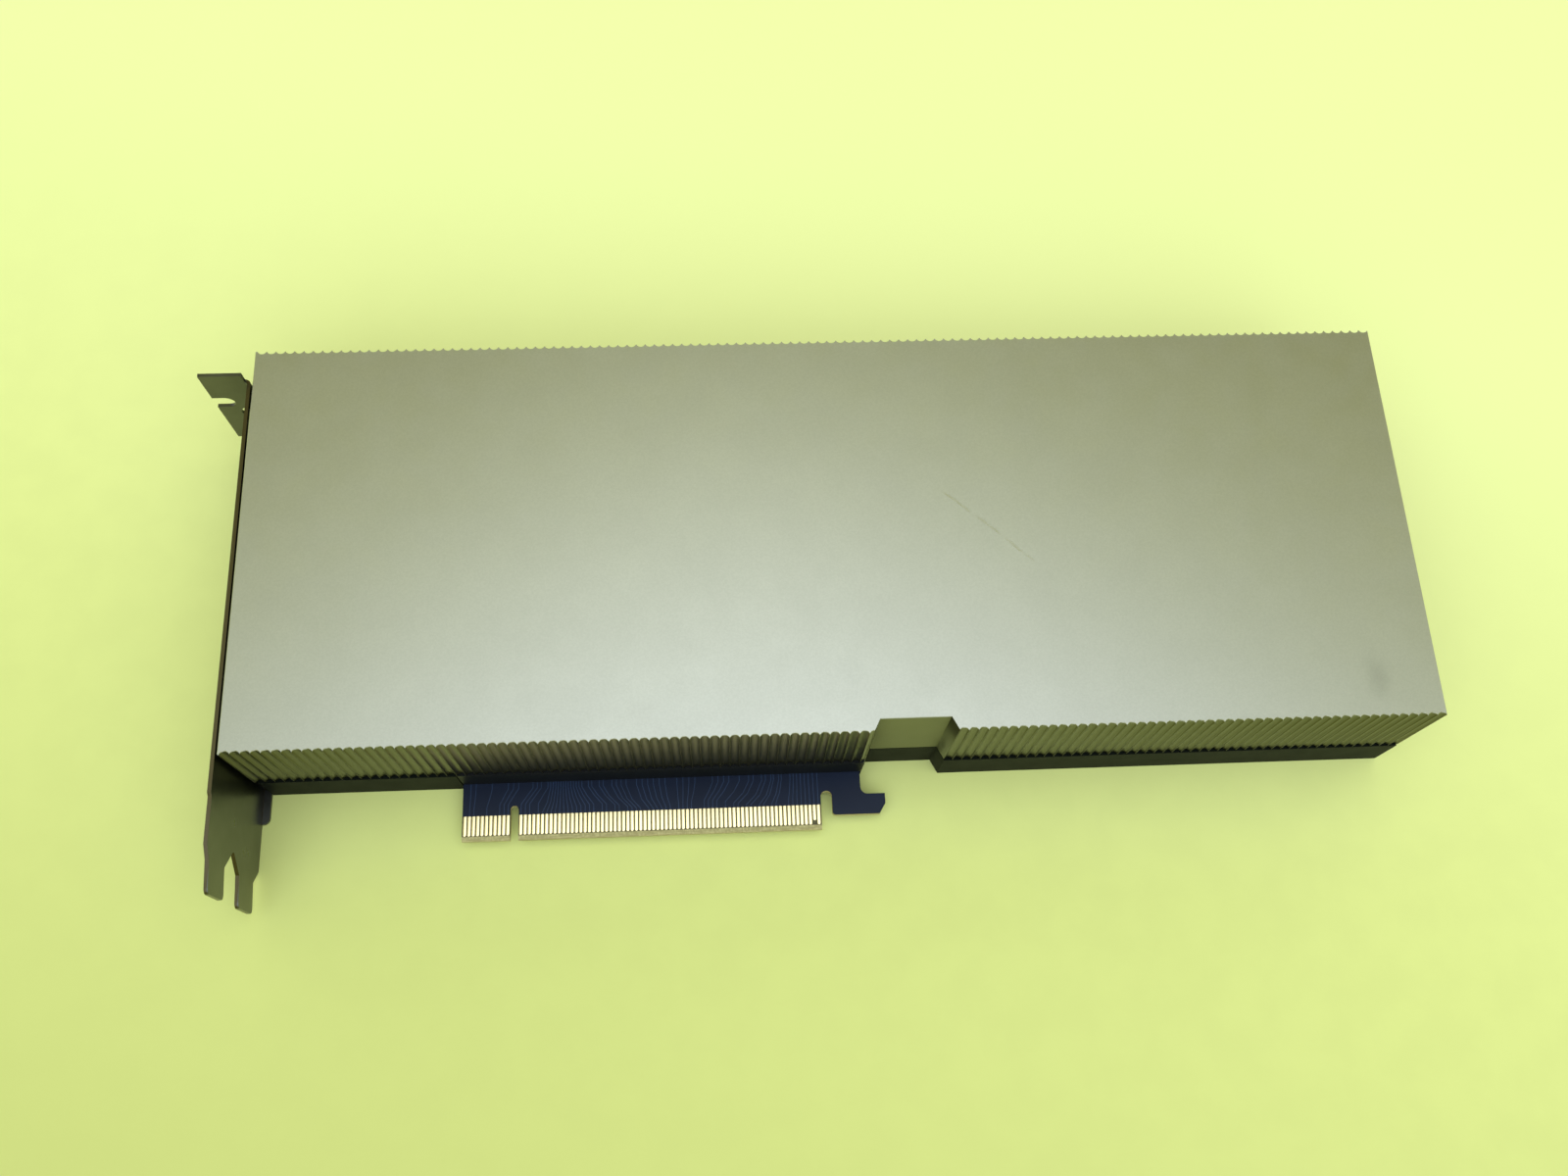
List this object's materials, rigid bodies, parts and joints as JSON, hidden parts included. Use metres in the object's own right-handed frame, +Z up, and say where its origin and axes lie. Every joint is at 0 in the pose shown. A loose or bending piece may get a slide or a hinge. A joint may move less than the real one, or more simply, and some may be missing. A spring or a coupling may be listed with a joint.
{
  "type": "passive accelerator card",
  "caption": "Dual-slot passive accelerator card: fluted metal cover over an open-ended fin stack, backplate tray, edge connector with retention hook, and a bracket with a forked foot.",
  "frame": {"origin": "Middle of the backplate's underside, the plane the card rests on", "axes": "+X along the card from the I/O bracket to the rear end, +Y away from the edge connector, +Z up out of the backplate towards the cover's roof"},
  "size_m": [0.2804, 0.126, 0.0396],
  "materials": {
    "cover_aluminium": "satin anodised, pale champagne",
    "tray_metal": "dark satin grey",
    "film": "black film",
    "frame_black": "satin black",
    "board": "dark blue solder mask",
    "gold": "gold plated",
    "substrate": "green laminate",
    "plain_steel": "plain sheet",
    "silicon": "polished silicon",
    "moulded_black": "moulded black",
    "soft_pad": "soft thermal pad",
    "ferrite": "pressed ferrite",
    "socket_black": "moulded nylon",
    "chamber_metal": "nickel plated copper",
    "fin_aluminium": "plain folded sheet",
    "bracket_steel": "dark nickel plated",
    "screw_steel": "blackened steel"
  },
  "bodies": {
    "root": {"shroud_cover": "cover_aluminium", "backplate_tray": "tray_metal", "insulator_sheet": "film", "inner_frame": "frame_black", "main_board": "board", "edge_contacts_front": "gold", "edge_contacts_back": "gold", "processor_substrate": "substrate", "stiffener_ring": "plain_steel", "processor_die": "silicon", "memory_stacks": "silicon", "power_stages": "moulded_black", "stage_pads": "soft_pad", "power_chokes": "ferrite", "choke_pads": "soft_pad", "output_capacitors": "moulded_black", "power_socket": "socket_black", "power_pins": "gold", "vapour_chamber": "chamber_metal", "fin_stack": "fin_aluminium", "retention_plate": "plain_steel", "io_bracket": "bracket_steel", "bracket_screws": "screw_steel", "cover_screws": "screw_steel", "processor_screws": "screw_steel"}
  },
  "joints": []
}
